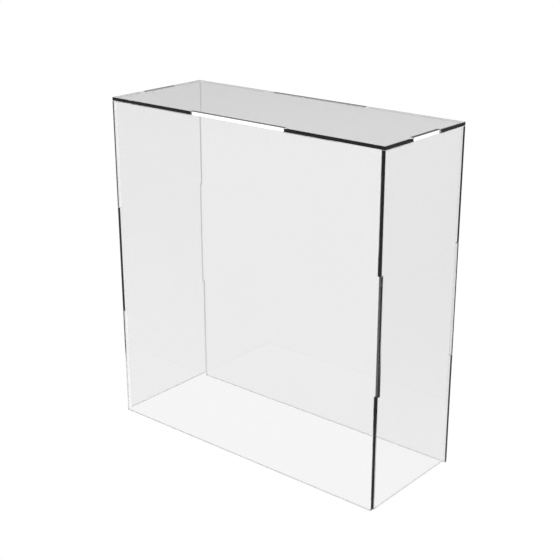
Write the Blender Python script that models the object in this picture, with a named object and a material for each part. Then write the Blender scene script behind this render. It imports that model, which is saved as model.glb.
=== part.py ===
"""Clear five-sided box that stands on its open side: five finger-jointed sheets and their cemented seams.

The origin is the centre of the open rim, +X runs along the width, -Y is the front and +Z is up.
"""

import itertools
import math

import bmesh
import bpy
from mathutils import Matrix

# Driving dimensions, in metres
WIDTH = 0.287
DEPTH = 0.109
HEIGHT = 0.300
SHEET = 0.003
SIDE_RISE = 0.0027
FINGERS = 3
TAB_SHARE = 0.344
JOINT_GAP = 0.0003
SEAM_RECESS = 0.0002
ACRYLIC_IOR = 1.49
GRID_DIGITS = 7

# Worked out from them
RECESS = SHEET + JOINT_GAP
HALF_GAP = JOINT_GAP / 2
FILM = JOINT_GAP / 3
WALL_TOP = HEIGHT - RECESS
FINGER = (HEIGHT - SIDE_RISE) / FINGERS
LOWER_STEP = SIDE_RISE + FINGER
UPPER_STEP = HEIGHT - FINGER

# Each wall: the length of its side of the box, the distance from the middle to its outer face, the
# turn about Z that brings the front wall's place to its own, and the height of its foot. The box stands
# on its front and back walls. The next wall round is to a wall's right.
WALLS = {
    "front": (WIDTH, DEPTH / 2, 0, 0),
    "right": (DEPTH, WIDTH / 2, 90, SIDE_RISE),
    "back": (WIDTH, DEPTH / 2, 180, 0),
    "left": (DEPTH, WIDTH / 2, 270, SIDE_RISE),
}
CORNERS = {
    "front_left": "front",
    "front_right": "right",
    "back_right": "back",
    "back_left": "left",
}


def clear_scene():
    for obj in list(bpy.data.objects):
        bpy.data.objects.remove(obj, do_unlink=True)


def material(name, colour, roughness, transmission):
    made = bpy.data.materials.new(name)
    made.use_nodes = True
    shader = made.node_tree.nodes["Principled BSDF"]
    shader.inputs["Base Color"].default_value = (*colour, 1)
    shader.inputs["Roughness"].default_value = roughness
    shader.inputs["Metallic"].default_value = 0
    shader.inputs["IOR"].default_value = ACRYLIC_IOR
    shader.inputs["Transmission Weight"].default_value = transmission
    made.diffuse_color = (*colour, 0.35)
    return made


def new_object(name, mesh, finish):
    obj = bpy.data.objects.new(name, mesh)
    obj.data.materials.append(finish)
    bpy.context.scene.collection.objects.link(obj)
    return obj


def outline_sheet(name, outline, low, high, finish):
    """A flat sheet whose outline lies in X and Y, from height low to height high."""
    mesh = bpy.data.meshes.new(name)
    shape = bmesh.new()
    face = shape.faces.new([shape.verts.new((x, y, low)) for x, y in outline])
    grown = bmesh.ops.extrude_face_region(shape, geom=[face])
    raised = [v for v in grown["geom"] if isinstance(v, bmesh.types.BMVert)]
    bmesh.ops.translate(shape, verts=raised, vec=(0, 0, high - low))
    bmesh.ops.recalc_face_normals(shape, faces=shape.faces)
    shape.to_mesh(mesh)
    shape.free()
    return new_object(name, mesh, finish)


def wall_place(distance, turn):
    """Where a wall's own frame sits: X to the right as seen from outside, Y into the box, Z up."""
    return Matrix.Rotation(math.radians(turn), 4, "Z") @ Matrix.Translation((0, -distance, 0))


def joint_line(length):
    """How far a tab's side joints lie from the middle of its wall."""
    return length * TAB_SHARE / 2


def wall_outline(length, foot):
    """A wall seen from outside: outer fingers at its left edge, a middle finger at its right edge."""
    half = length / 2
    inset = half - RECESS
    tab = joint_line(length) - HALF_GAP
    return [
        (-half, foot),
        (inset, foot),
        (inset, LOWER_STEP + HALF_GAP),
        (half, LOWER_STEP + HALF_GAP),
        (half, UPPER_STEP - HALF_GAP),
        (inset, UPPER_STEP - HALF_GAP),
        (inset, WALL_TOP),
        (tab, WALL_TOP),
        (tab, HEIGHT),
        (-tab, HEIGHT),
        (-tab, WALL_TOP),
        (-half, WALL_TOP),
        (-half, UPPER_STEP + HALF_GAP),
        (-inset, UPPER_STEP + HALF_GAP),
        (-inset, LOWER_STEP - HALF_GAP),
        (-half, LOWER_STEP - HALF_GAP),
    ]


def wall_panel(side, finish):
    length, distance, turn, foot = WALLS[side]
    wall = outline_sheet(f"{side}_panel", wall_outline(length, foot), -SHEET, 0, finish)
    upright = Matrix.Rotation(math.radians(90), 4, "X")
    wall.matrix_world = wall_place(distance, turn) @ upright
    return wall


def top_outline():
    """The deck: a rectangle with a notch in the middle of each side, one sheet deep."""
    points = []
    for length, distance, turn, _ in WALLS.values():
        notch = joint_line(length) + HALF_GAP
        side = [
            (-length / 2, 0),
            (-notch, 0),
            (-notch, RECESS),
            (notch, RECESS),
            (notch, 0),
        ]
        place = wall_place(distance, turn)
        points += [(place @ Matrix.Translation((x, y, 0))).translation.to_2d() for x, y in side]
    return points


def outer_faces(planes, filled, cell):
    """The corners of each face of a filled grid cell that has no filled cell behind it, facing out."""
    for axis in range(3):
        first, second = (axis + 1) % 3, (axis + 2) % 3
        for side in (0, 1):
            neighbour = list(cell)
            neighbour[axis] += 2 * side - 1
            if tuple(neighbour) in filled:
                continue
            turns = [(0, 0), (1, 0), (1, 1), (0, 1)]
            corners = []
            for a, b in turns if side else reversed(turns):
                step = [0, 0, 0]
                step[axis], step[first], step[second] = side, a, b
                corners.append(tuple(planes[i][cell[i] + step[i]] for i in range(3)))
            yield corners


def joined_film(name, boxes, place, finish):
    """One folded strip of cured cement: the skin round thin boxes that overlap where the strip turns."""
    boxes = [[[round(value, GRID_DIGITS) for value in corner] for corner in box] for box in boxes]
    planes = [sorted({corner[i] for box in boxes for corner in box}) for i in range(3)]
    filled = set()
    for low, high in boxes:
        spans = [range(planes[i].index(low[i]), planes[i].index(high[i])) for i in range(3)]
        filled |= set(itertools.product(*spans))
    shape = bmesh.new()
    points = {}
    for cell in sorted(filled):
        for corners in outer_faces(planes, filled, cell):
            for point in corners:
                if point not in points:
                    points[point] = shape.verts.new(point)
            shape.faces.new([points[point] for point in corners])
    mesh = bpy.data.meshes.new(name)
    shape.to_mesh(mesh)
    shape.free()
    film = new_object(name, mesh, finish)
    film.matrix_world = place
    return film


def upright_seam(corner, finish):
    """The cement at a wall's left edge, where it meets the wall before it, from the side wall's foot up."""
    length, distance, turn, _ = WALLS[CORNERS[corner]]
    half = length / 2
    inner = SHEET + FILM
    outer = inner + FILM
    left = -half + SEAM_RECESS
    behind = [
        ((left, inner, low), (-half + outer, outer, high))
        for low, high in (
            (SIDE_RISE + SEAM_RECESS, LOWER_STEP + FILM / 2),
            (UPPER_STEP - FILM / 2, WALL_TOP),
        )
    ]
    beside = ((-half + inner, SEAM_RECESS, LOWER_STEP), (-half + outer, outer, UPPER_STEP))
    flanks = [
        ((left, SEAM_RECESS, step - FILM / 2), (-half + outer, outer, step + FILM / 2))
        for step in (LOWER_STEP, UPPER_STEP)
    ]
    boxes = [beside, *flanks, *behind]
    return joined_film(f"seam_{corner}", boxes, wall_place(distance, turn), finish)


def top_seam(side, finish):
    """The cement between a wall's top edge and the deck, stepping round the tab."""
    length, distance, turn, _ = WALLS[side]
    half = length / 2
    low = WALL_TOP + FILM
    high = low + FILM
    flank = joint_line(length)
    edge = flank + FILM / 2
    crown = HEIGHT - SEAM_RECESS
    inner = SHEET + FILM
    outer = inner + FILM
    flanks = [
        ((middle - FILM / 2, SEAM_RECESS, low), (middle + FILM / 2, outer, crown))
        for middle in (-flank, flank)
    ]
    behind = ((-edge, inner, low), (edge, outer, crown))
    under = [
        ((-half + SEAM_RECESS, SEAM_RECESS, low), (-flank, SHEET, high)),
        ((flank, SEAM_RECESS, low), (half - RECESS, SHEET, high)),
    ]
    boxes = [behind, *flanks, *under]
    return joined_film(f"seam_top_{side}", boxes, wall_place(distance, turn), finish)


def build():
    clear_scene()
    acrylic = material("clear_acrylic", (0.93, 0.95, 0.95), 0.02, 1)
    cement = material("cured_cement", (0.90, 0.93, 0.93), 0.12, 1)
    outline_sheet("top_panel", top_outline(), HEIGHT - SHEET, HEIGHT, acrylic)
    for side in WALLS:
        wall_panel(side, acrylic)
        top_seam(side, cement)
    for corner in CORNERS:
        upright_seam(corner, cement)


build()
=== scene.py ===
"""The looks of the clear five-sided box: cast acrylic sheets, laser-cut edges painted dark as shade, and
cemented joints with painted glow and shade.

Lengths are in metres, and textures' scales in features per metre.
"""

import math

import bmesh
import bpy
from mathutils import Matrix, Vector, noise


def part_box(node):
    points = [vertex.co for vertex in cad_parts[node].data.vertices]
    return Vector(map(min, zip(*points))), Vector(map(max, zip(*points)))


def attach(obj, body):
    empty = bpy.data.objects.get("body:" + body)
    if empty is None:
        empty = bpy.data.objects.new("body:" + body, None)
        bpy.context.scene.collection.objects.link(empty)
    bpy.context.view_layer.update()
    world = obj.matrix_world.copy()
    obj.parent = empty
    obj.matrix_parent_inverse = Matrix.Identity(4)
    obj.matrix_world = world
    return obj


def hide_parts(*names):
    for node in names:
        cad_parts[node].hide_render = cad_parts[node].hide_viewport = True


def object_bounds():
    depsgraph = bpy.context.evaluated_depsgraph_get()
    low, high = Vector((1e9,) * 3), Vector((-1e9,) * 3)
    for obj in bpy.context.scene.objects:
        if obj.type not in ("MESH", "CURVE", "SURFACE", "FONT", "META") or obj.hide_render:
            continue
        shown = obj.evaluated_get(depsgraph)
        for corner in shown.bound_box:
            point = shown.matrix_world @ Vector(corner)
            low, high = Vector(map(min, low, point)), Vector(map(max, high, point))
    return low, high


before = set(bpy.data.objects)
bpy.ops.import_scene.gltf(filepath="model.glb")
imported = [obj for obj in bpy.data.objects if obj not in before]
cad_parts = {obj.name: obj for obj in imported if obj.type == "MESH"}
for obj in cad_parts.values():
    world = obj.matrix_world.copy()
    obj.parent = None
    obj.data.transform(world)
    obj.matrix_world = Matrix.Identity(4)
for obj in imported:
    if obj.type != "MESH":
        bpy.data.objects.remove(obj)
cad_box = [list(corner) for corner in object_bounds()]

X, Y, Z = range(3)

# The box's outermost planes, and how high its side sheets end. It stands on its front and back sheets.
RIGHT = cad_box[1][0]
FRONT = cad_box[0][1]
FOOT = cad_box[0][2]
DECK = cad_box[1][2]
SIDE_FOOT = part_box("right_panel")[0][2]
FRONT_RIGHT = Vector((RIGHT, FRONT))

# The upright joints step at thirds of the side sheets' height
FINGERS = 3
FINGER = (DECK - SIDE_FOOT) / FINGERS
LOWER_STEP = SIDE_FOOT + FINGER
UPPER_STEP = DECK - FINGER

# Each sheet and the axis that its thickness lies along, and the scraped arris round every edge
PANELS = {"top_panel": Z, "front_panel": Y, "back_panel": Y, "left_panel": X, "right_panel": X}
ARRIS = 0.00018
ARRIS_STEPS = 2

# A sheet's material slots
BROAD, SHOWN_CUT, FOOT_CUT, JOINT_CUT, FROSTED_ARRIS_PAINTED_HIGHLIGHT = range(5)

# How to tell a sheet's faces apart: an arris is less square to the axes than this, a cut face that shows
# is this near the box's own side, and a foot is a cut face below this height
SQUARE = 0.999
ON_THE_BOX = 0.0001
FOOT_BELOW = 0.005

# How acrylic refracts in air and where cement has wetted it, and the grey that it lets through
IOR = 1.49
WETTED_IOR = 1.05
CLEAR_GREY = 0.91

# How much painted shade darkens the cut faces seen from within: at the foot, and above a stretch where it
# changes, on the walls and on the deck
FOOT_PAINTED_SHADE = 0.25
WALL_PAINTED_SHADE = 1.0
DECK_PAINTED_SHADE = 0.2
PAINTED_SHADE_FROM = 0.045
PAINTED_SHADE_TO = 0.068

# How much of a foot's cut face the ground wets
FOOT_WETTED = 0.65

# Scales of the fine textures
RIDGES = 2600.0
BUBBLES = 900.0

# A film's material slots: clear cement, then milky cement with painted glow, with painted shade and with
# painted half shade. An upright film has two, and the second is its own.
CLEAR_FILM, MILKY_PAINTED_GLOW_FILM, MILKY_PAINTED_SHADE_FILM, MILKY_PAINTED_HALF_SHADE_FILM = range(4)
OWN_FILM = 1

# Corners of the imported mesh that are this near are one, and so are neighbouring faces within this angle
SAME_CORNER = 0.00001
SAME_FACE = math.radians(1)

# The cement's edge: how often it wanders, how far, how fast along the noise, and how near the box's side
# a point of the film has to be to belong to it
CEMENT_STEP = 0.0015
CEMENT_WANDER = 0.00022
WANDER_PACE = (0.31, 0.11)
NEAR_THE_BOX = 0.0003

# The front right joint is dry above its lower step, and painted dark as shade. Up to the upper step it has
# a milky bead with a painted glow at its mouth, this deep, and above that the glowing cement starts
# further in.
BEAD_DEPTH = 0.0005
INNER_DEPTH = 0.0026

# How near that joint's corner its arrises lie, and up to which height they are frosted with a painted
# highlight, by the axis of the sheet's thickness. Those further back than this are frosted, with the
# painted highlight, up to the upper step.
CORNER = 0.005
FROSTED_HIGHLIGHT_TO = (UPPER_STEP, LOWER_STEP, 0.0)
BEHIND = 0.0015

# How far from the lower step they are still clear, and from how far they are fully frosted with the
# painted highlight
CLEAR_BY_STEP = 0.01
FROSTED_HIGHLIGHT_BY = 0.05

# How far back the end of the front sheet's middle finger is painted black as shade, before cement covers
# it
BLACK_PAINTED_SHADE_TO = 0.0023

# The studio
FLOOR_RADIUS = 4.0
FLOOR_SIDES = 96
FLOOR_DROP = 0.0002
POOL_MIDDLE = (-0.45, -0.50, 0.0)
POOL_FULL = 0.5
POOL_GONE = 1.35
FLOOR_GLOW = 1.005
WHITE = (1.005, 1.005, 1.005, 1)
STUDIO_LOW = 0.62
STUDIO_WALL = 0.57
STUDIO_CEILING = 1.1
HORIZON = (-0.05, 0.02)
CEILING_RISE = (0.35, 0.9)
SOFTBOX_SIDE = 1.2
SOFTBOX_WATTS = 8
SOFTBOX_AT = Vector((-0.5, -0.4, 1.6))
SOFTBOX_AIM = Vector((0, 0, 0.15))

# The camera, with its angles in degrees
AZIMUTH = 39.895
ELEVATION = 20.060
EYE = (0.5942, -0.7108, 0.4883)
LENS = 73.04


class Nodes:
    """The node tree of a new material or world: one call adds a node with its settings and its inputs."""

    def __init__(self, owner):
        owner.use_nodes = True
        self.owner = owner
        self.tree = owner.node_tree
        self.tree.nodes.clear()

    def put(self, node, key, value):
        """Links an input to a socket, or sets it to a value."""
        if isinstance(value, bpy.types.NodeSocket):
            self.tree.links.new(value, node.inputs[key])
        else:
            node.inputs[key].default_value = value

    def add(self, kind, inputs=None, **settings):
        node = self.tree.nodes.new(kind)
        for name, value in settings.items():
            setattr(node, name, value)
        for key, value in (inputs or {}).items():
            self.put(node, key, value)
        return node

    def place(self):
        """The shaded point, in the frame that all pieces share."""
        return self.add("ShaderNodeTexCoord").outputs["Object"]

    def parts(self, vector):
        return self.add("ShaderNodeSeparateXYZ", {0: vector}).outputs

    def math(self, operation, *values, clamp=False):
        inputs = dict(enumerate(values))
        return self.add("ShaderNodeMath", inputs, operation=operation, use_clamp=clamp).outputs[0]

    def ramp(self, value, low, high, start=0.0, end=1.0, smooth=False):
        """Value from low..high onto start..end."""
        inputs = {"Value": value, "From Min": low, "From Max": high, "To Min": start, "To Max": end}
        shape = "SMOOTHSTEP" if smooth else "LINEAR"
        return self.add("ShaderNodeMapRange", inputs, interpolation_type=shape).outputs["Result"]

    def noise(self, vector, scale, detail=2.0, roughness=0.5):
        inputs = {"Vector": vector, "Scale": scale, "Detail": detail, "Roughness": roughness}
        return self.add("ShaderNodeTexNoise", inputs).outputs["Fac"]

    def blend(self, factor, first, second):
        """A colour between two colours. The Mix node's inputs 6 and 7 and its output 2 are colours."""
        node = self.add("ShaderNodeMix", data_type="RGBA")
        for key, value in ((0, factor), (6, first), (7, second)):
            self.put(node, key, value)
        return node.outputs[2]

    def bump(self, height, strength, distance):
        inputs = {"Height": height, "Strength": strength, "Distance": distance}
        return self.add("ShaderNodeBump", inputs).outputs["Normal"]

    def surface(self, inputs):
        return self.add("ShaderNodeBsdfPrincipled", inputs).outputs[0]

    def see_through(self, colour, roughness, ior, **more):
        inputs = {"Base Color": colour, "Roughness": roughness, "IOR": ior, "Transmission Weight": 1.0}
        return self.surface({**inputs, **more})

    def mixed_shader(self, factor, first, second):
        return self.add("ShaderNodeMixShader", {0: factor, 1: first, 2: second}).outputs[0]

    def finished(self, surface, kind="Material"):
        """Ends the tree with its output, and gives back what it belongs to."""
        self.add(f"ShaderNodeOutput{kind}", {"Surface": surface})
        return self.owner


def grey(level):
    return (level, level, level, 1)


def clear_acrylic():
    """Cast acrylic: nearly flat, faintly wavy, with a little haze from handling."""
    n = Nodes(bpy.data.materials.new("clear_acrylic"))
    place = n.place()
    tint = n.blend(n.noise(place, scale=9.0), grey(0.901), grey(0.913))
    handled = n.noise(place, scale=22.0, detail=5.0, roughness=0.6)
    haze = n.ramp(handled, 0.5, 0.8, start=0.0, end=0.035)
    wave = n.bump(n.noise(place, scale=12.0, detail=1.0), strength=0.02, distance=0.001)
    return n.finished(n.see_through(tint, haze, IOR, Normal=wave))


def across_lines(n, place, across):
    """Fine ridges that cross the sheet from face to face, as the laser leaves them."""
    along = [0.0 if axis == across else 1.0 for axis in range(3)]
    run = n.add("ShaderNodeVectorMath", {0: place, 1: along}, operation="DOT_PRODUCT").outputs["Value"]
    inputs = {"W": run, "Scale": RIDGES, "Detail": 2.0}
    return n.add("ShaderNodeTexNoise", inputs, noise_dimensions="1D").outputs["Fac"]


def shown_cut(name, across):
    """A laser-cut face in the open: painted dark as shade and finely ridged, and from within clearer, with
    less painted shade, where it is low.
    """
    n = Nodes(bpy.data.materials.new(name))
    place = n.place()
    painted_light_mottle = n.noise(place, scale=60.0, detail=4.0, roughness=0.6)
    ridged = n.bump(across_lines(n, place, across), strength=0.25, distance=0.0001)
    # Near black: painted shade for the dark look of the cut face, mottled a little
    dark = n.surface({
        "Base Color": n.blend(n.ramp(painted_light_mottle, 0.35, 0.7), grey(0.004), grey(0.012)),
        "Roughness": n.ramp(painted_light_mottle, 0.3, 0.7, start=0.10, end=0.28),
        "IOR": IOR,
        "Specular IOR Level": 0.2,
        "Normal": ridged,
    })
    clear = n.see_through(grey(CLEAR_GREY), n.ramp(painted_light_mottle, 0.3, 0.7, start=0.02, end=0.10), IOR)
    height = n.parts(place)["Z"]
    # Painted shade seen from within: less on the deck, and lighter toward the foot
    full_painted_shade = DECK_PAINTED_SHADE if across == Z else WALL_PAINTED_SHADE
    painted_shade_share = n.ramp(height, PAINTED_SHADE_FROM, PAINTED_SHADE_TO, start=FOOT_PAINTED_SHADE, end=full_painted_shade, smooth=True)
    from_within = n.add("ShaderNodeNewGeometry").outputs["Backfacing"]
    within = n.mixed_shader(painted_shade_share, clear, dark)
    return n.finished(n.mixed_shader(from_within, dark, within))


def foot_cut(name, across):
    """The cut face at a sheet's foot: frosted by its ridges, in part wetted by the ground, and pale."""
    n = Nodes(bpy.data.materials.new(name))
    ridges = across_lines(n, n.place(), across)
    pale = n.blend(ridges, grey(0.93), grey(0.97))
    rough = n.ramp(ridges, 0.3, 0.7, start=0.25, end=0.45)
    ridged = n.bump(ridges, strength=0.25, distance=0.0001)
    frosted, wetted = (n.see_through(pale, rough, ior, Normal=ridged) for ior in (IOR, WETTED_IOR))
    return n.finished(n.mixed_shader(FOOT_WETTED, frosted, wetted))


def joint_cut(name, across):
    """A cut face inside a joint, where the cement has filled the ridges and made it nearly vanish."""
    n = Nodes(bpy.data.materials.new(name))
    ridges = across_lines(n, n.place(), across)
    pale = n.blend(ridges, grey(0.93), grey(0.97))
    rough = n.ramp(ridges, 0.3, 0.7, start=0.02, end=0.08)
    return n.finished(n.see_through(pale, rough, WETTED_IOR))


def frosted_arris_painted_highlight():
    """A scraped arris, frosted, with a painted highlight that glows for the light piped down its sheet,
    but clear by the lower step.
    """
    n = Nodes(bpy.data.materials.new("frosted_arris_painted_highlight"))
    place = n.place()
    scrapes = n.noise(place, scale=400.0, detail=3.0)
    pale = n.blend(scrapes, grey(0.60), grey(0.75))
    # Pale and glowing: a painted highlight on the frosted arris
    frosted = n.surface({
        "Base Color": pale,
        "Roughness": n.ramp(scrapes, 0.3, 0.7, start=0.25, end=0.45),
        "IOR": IOR,
        "Emission Color": pale,
        "Emission Strength": 0.5,
        "Normal": n.bump(scrapes, strength=0.2, distance=0.00005),
    })
    clear = n.see_through(grey(CLEAR_GREY), n.ramp(scrapes, 0.3, 0.7, start=0.02, end=0.10), IOR)
    away = n.math("ABSOLUTE", n.math("SUBTRACT", n.parts(place)["Z"], LOWER_STEP))
    share = n.ramp(away, CLEAR_BY_STEP, FROSTED_HIGHLIGHT_BY, smooth=True)
    return n.finished(n.mixed_shader(share, clear, frosted))


def bubbles(n, place):
    """Fine bubbles trapped in the cement: low inside each one."""
    distance = n.add("ShaderNodeTexVoronoi", {"Vector": place, "Scale": BUBBLES}).outputs["Distance"]
    return n.ramp(distance, 0.1, 0.5)


def clear_cement():
    n = Nodes(bpy.data.materials.new("clear_cement"))
    froth = bubbles(n, n.place())
    bright = n.blend(froth, grey(0.88), grey(0.95))
    rough = n.ramp(froth, 0.0, 1.0, start=0.15, end=0.03)
    dimpled = n.bump(froth, strength=0.2, distance=0.00005)
    return n.finished(n.see_through(bright, rough, WETTED_IOR, Normal=dimpled))


def milky_cement(name, pale, glow):
    """Cement gone milky, with a painted glow for the room's light that the sheets pipe into it. Its copies
    differ in pale and glow.
    """
    n = Nodes(bpy.data.materials.new(name))
    place = n.place()
    clouds = n.noise(place, scale=70.0, detail=4.0, roughness=0.6)
    froth = n.math("MULTIPLY", bubbles(n, place), clouds)
    # This pale colour also drives the emission: a painted glow
    white = n.blend(froth, grey(pale * 0.94), grey(pale))
    return n.finished(n.surface({
        "Base Color": white,
        "Roughness": n.ramp(froth, 0.0, 1.0, start=0.45, end=0.2),
        "IOR": IOR,
        "Emission Color": white,
        "Emission Strength": glow,
        "Normal": n.bump(froth, strength=0.3, distance=0.00005),
    }))


def dry_joint_painted_shade_and_glow():
    """A joint that the cement missed but for a bead: its cut is painted dark as shade, and the bead has a
    painted glow.
    """
    n = Nodes(bpy.data.materials.new("dry_joint_painted_shade_and_glow"))
    place = n.place()
    painted_light_mottle = n.noise(place, scale=300.0, detail=4.0, roughness=0.6)
    # Near black: painted shade in the dry joint
    dry = n.surface({
        "Base Color": n.blend(n.ramp(painted_light_mottle, 0.35, 0.7), grey(0.02), grey(0.06)),
        "Roughness": n.ramp(painted_light_mottle, 0.3, 0.7, start=0.3, end=0.6),
        "IOR": IOR,
        "Normal": n.bump(painted_light_mottle, strength=0.3, distance=0.00005),
    })
    # Pale and glowing: a painted glow on the bead and on the cement further in
    bead = n.surface({
        "Base Color": n.blend(painted_light_mottle, grey(0.70), grey(0.90)),
        "Roughness": n.ramp(painted_light_mottle, 0.3, 0.7, start=0.2, end=0.45),
        "IOR": IOR,
        "Emission Color": grey(0.8),
        "Emission Strength": 0.7,
    })
    across, back, height = n.parts(place)
    from_right = n.math("SUBTRACT", RIGHT, across)
    from_front = n.math("SUBTRACT", back, FRONT)
    depth = n.math("MINIMUM", from_right, from_front)
    low = n.math("LESS_THAN", height, UPPER_STEP)
    high = n.math("SUBTRACT", 1.0, low)
    mouth = n.math("MULTIPLY", low, n.math("LESS_THAN", depth, BEAD_DEPTH))
    inner = n.math("MULTIPLY", high, n.math("GREATER_THAN", depth, INNER_DEPTH))
    return n.finished(n.mixed_shader(n.math("ADD", mouth, inner), dry, bead))


def packed_shape(node):
    """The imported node's mesh with its corners joined and its flat faces whole."""
    shape = bmesh.new()
    shape.from_mesh(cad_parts[node].data)
    bmesh.ops.remove_doubles(shape, verts=shape.verts, dist=SAME_CORNER)
    bmesh.ops.dissolve_limit(shape, angle_limit=SAME_FACE, verts=shape.verts, edges=shape.edges)
    return shape


def cut_across(shape, axis, at):
    """Splits every face that a plane at right angles to the axis passes through."""
    direction = [float(i == axis) for i in range(3)]
    everything = [*shape.verts, *shape.edges, *shape.faces]
    bmesh.ops.bisect_plane(
        shape, geom=everything, plane_co=[at * part for part in direction], plane_no=direction
    )


def main_axis(vector):
    return max(range(3), key=lambda i: abs(vector[i]))


def sheet_slot(face, across):
    """The slot of a sheet's face. Most arrises count as broad, because they are scraped clear."""
    axis = main_axis(face.normal)
    middle = face.calc_center_median()
    from_corner = middle.xy - FRONT_RIGHT
    by_corner = from_corner.length < CORNER
    if abs(face.normal[axis]) < SQUARE:
        # Low arrises by the front right corner get the frosted arris with its painted highlight
        low = middle.z < FROSTED_HIGHLIGHT_TO[across] or (from_corner.y > BEHIND and middle.z < UPPER_STEP)
        return FROSTED_ARRIS_PAINTED_HIGHLIGHT if by_corner and low else BROAD
    if axis == across:
        return BROAD
    if axis == Z and middle.z - FOOT < FOOT_BELOW:
        return FOOT_CUT
    if axis == X and middle.z < SIDE_FOOT:
        return SHOWN_CUT
    on_finger = axis == X and by_corner and LOWER_STEP < middle.z < UPPER_STEP
    # Behind the painted black, the finger's end gets the frosted arris's painted highlight
    if on_finger and from_corner.y > BLACK_PAINTED_SHADE_TO:
        return FROSTED_ARRIS_PAINTED_HIGHLIGHT
    if min(middle[axis] - cad_box[0][axis], cad_box[1][axis] - middle[axis]) < ON_THE_BOX:
        return SHOWN_CUT
    return JOINT_CUT


def add_piece(name, shape, finishes, node):
    mesh = bpy.data.meshes.new(name)
    shape.to_mesh(mesh)
    shape.free()
    for finish in finishes:
        mesh.materials.append(finish)
    piece = bpy.data.objects.new(name, mesh)
    bpy.context.scene.collection.objects.link(piece)
    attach(piece, "root")
    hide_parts(node)


def make_sheets():
    """Each sheet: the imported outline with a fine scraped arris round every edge.

    The front and back sheets' faces are also split where the look of their ends changes: at the height
    where the side sheets end, and where the cement starts to cover the middle finger.
    """
    acrylic = clear_acrylic()
    # The frosted arris with its painted highlight
    frosted = frosted_arris_painted_highlight()
    cuts = {
        across: [make(f"{make.__name__}_{axis}", across) for make in (shown_cut, foot_cut, joint_cut)]
        for across, axis in enumerate("xyz")
    }
    for node, across in PANELS.items():
        shape = packed_shape(node)
        bmesh.ops.bevel(
            shape, geom=list(shape.edges), offset=ARRIS, segments=ARRIS_STEPS, profile=0.5,
            affect="EDGES", clamp_overlap=True,
        )
        if across == Y:
            cut_across(shape, Z, SIDE_FOOT)
            cut_across(shape, Y, FRONT + BLACK_PAINTED_SHADE_TO)
        bmesh.ops.recalc_face_normals(shape, faces=shape.faces)
        for face in shape.faces:
            face.material_index = sheet_slot(face, across)
        name = node.replace("panel", "sheet")
        add_piece(name, shape, [acrylic, *cuts[across], frosted], node)


def wandering_edge(shape, run):
    """The film's outer edge draws back from the box's faces by a little more here and less there."""
    low, high = cad_box
    for point in shape.verts:
        along = point.co[run] / CEMENT_STEP
        wander = CEMENT_WANDER * (0.5 + noise.noise((*(along * pace for pace in WANDER_PACE), run)))
        for axis in range(3):
            if axis == run:
                continue
            if high[axis] - point.co[axis] < NEAR_THE_BOX:
                point.co[axis] -= wander
            elif point.co[axis] - low[axis] < NEAR_THE_BOX:
                point.co[axis] += wander


def top_film_slot(node, face):
    """The slot of a deck joint's face. Its upright faces get painted glow or painted shade by the side
    that they face.
    """
    middle = face.calc_center_median()
    if main_axis(face.normal) == Z:
        # The flat faces of the left and back deck joints get painted half shade
        return MILKY_PAINTED_HALF_SHADE_FILM if node in ("seam_top_left", "seam_top_back") else CLEAR_FILM
    by_corner = (middle.xy - FRONT_RIGHT).length < CORNER
    # Faces along the front right corner get painted shade
    if by_corner and main_axis(face.normal) == Y:
        return MILKY_PAINTED_SHADE_FILM
    outward = face.normal.xy.dot(middle.xy) > 0
    return MILKY_PAINTED_GLOW_FILM if outward else MILKY_PAINTED_SHADE_FILM


def upright_film_slot(node, face):
    """The slot of an upright joint's face. The front right joint is clear below its lower step."""
    if node == "seam_back_right":
        return CLEAR_FILM
    if node == "seam_front_right" and face.calc_center_median().z <= LOWER_STEP:
        return CLEAR_FILM
    return OWN_FILM


def make_seams():
    """Each seam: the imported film, cut into short lengths so that its edge can wander."""
    clear = clear_cement()
    # Lit and shaded copies of one milky cement, by how much painted glow and painted shade each has
    half_shaded_cement = milky_cement("milky_cement_painted_half_shade", pale=0.70, glow=0.5)
    deck_films = [
        clear,
        milky_cement("milky_cement", pale=0.97, glow=1.1),
        milky_cement("milky_cement_painted_shade", pale=0.50, glow=0.1),
        half_shaded_cement,
    ]
    # The front left joint's own film has a softer painted glow, and the back left's has painted half shade
    upright_films = {
        "seam_front_left": [clear, milky_cement("milky_cement_softer_painted_glow", pale=0.90, glow=0.7)],
        "seam_front_right": [clear, dry_joint_painted_shade_and_glow()],
        "seam_back_left": [clear, half_shaded_cement],
        "seam_back_right": [clear],
    }
    for node in sorted(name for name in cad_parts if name.startswith("seam_")):
        upright = node in upright_films
        film_slot = upright_film_slot if upright else top_film_slot
        low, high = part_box(node)
        run = main_axis(Vector(high) - Vector(low))
        shape = packed_shape(node)
        for step in range(1, int((high[run] - low[run]) / CEMENT_STEP)):
            cut_across(shape, run, low[run] + step * CEMENT_STEP)
        wandering_edge(shape, run)
        bmesh.ops.recalc_face_normals(shape, faces=shape.faces)
        for face in shape.faces:
            face.material_index = film_slot(node, face)
        name = node.replace("seam", "cement")
        add_piece(name, shape, upright_films.get(node, deck_films), node)


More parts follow.
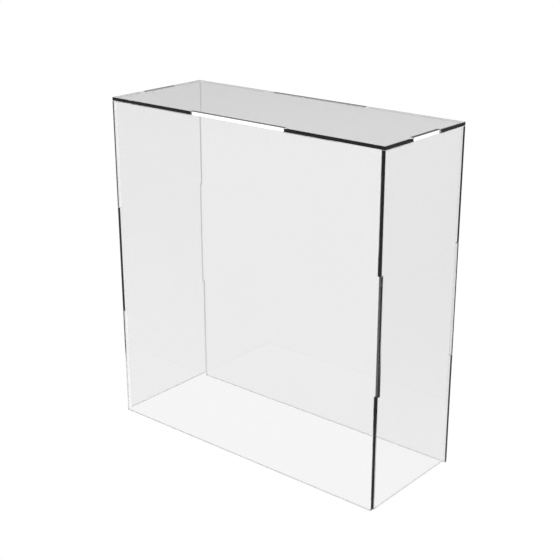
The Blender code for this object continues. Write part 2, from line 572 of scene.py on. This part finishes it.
def floor():
    """A pale floor that glows like a light table and fades out before the studio's walls."""
    n = Nodes(bpy.data.materials.new("pale_floor"))
    from_pool = {0: n.place(), 1: POOL_MIDDLE}
    reach = n.add("ShaderNodeVectorMath", from_pool, operation="DISTANCE").outputs["Value"]
    glow = n.add("ShaderNodeEmission", {"Color": grey(1.0), "Strength": FLOOR_GLOW}).outputs[0]
    clear = n.add("ShaderNodeBsdfTransparent").outputs[0]
    gone = n.ramp(reach, POOL_FULL, POOL_GONE, smooth=True)
    mesh = bpy.data.meshes.new("floor")
    shape = bmesh.new()
    bmesh.ops.create_circle(shape, cap_ends=True, segments=FLOOR_SIDES, radius=FLOOR_RADIUS)
    shape.to_mesh(mesh)
    shape.free()
    mesh.materials.append(n.finished(n.mixed_shader(gone, glow, clear)))
    disc = bpy.data.objects.new("floor", mesh)
    disc.location.z = FOOT - FLOOR_DROP
    bpy.context.scene.collection.objects.link(disc)


def studio():
    """White behind the object, and a greyer room with a bright ceiling in its reflections."""
    n = Nodes(bpy.data.worlds.new("studio"))
    up = n.parts(n.add("ShaderNodeTexCoord").outputs["Generated"])["Z"]
    wall = n.ramp(up, *HORIZON, start=STUDIO_LOW, end=STUDIO_WALL, smooth=True)
    ceiling = n.ramp(up, *CEILING_RISE, start=0.0, end=STUDIO_CEILING - STUDIO_WALL, smooth=True)
    room = n.math("ADD", wall, ceiling)
    path = n.add("ShaderNodeLightPath").outputs
    bounced = n.math("ADD", path["Glossy Depth"], path["Diffuse Depth"], clamp=True)
    colour = n.blend(bounced, WHITE, room)
    background = n.add("ShaderNodeBackground", {"Color": colour, "Strength": 1.0}).outputs[0]
    bpy.context.scene.world = n.finished(background, "World")


def softbox():
    """A large soft light above and to the left."""
    data = bpy.data.lights.new("softbox", "AREA")
    data.shape = "SQUARE"
    data.size = SOFTBOX_SIDE
    data.energy = SOFTBOX_WATTS
    light = bpy.data.objects.new("softbox", data)
    light.location = SOFTBOX_AT
    light.rotation_euler = (SOFTBOX_AIM - SOFTBOX_AT).to_track_quat("-Z", "Y").to_euler()
    bpy.context.scene.collection.objects.link(light)


def camera():
    data = bpy.data.cameras.new("camera")
    data.lens = LENS
    eye = bpy.data.objects.new("camera", data)
    eye.location = EYE
    eye.rotation_euler = (math.radians(90 - ELEVATION), 0, math.radians(AZIMUTH))
    bpy.context.scene.collection.objects.link(eye)
    bpy.context.scene.camera = eye


make_sheets()
make_seams()
floor()
studio()
softbox()
camera()
bpy.context.scene.view_settings.view_transform = "Standard"
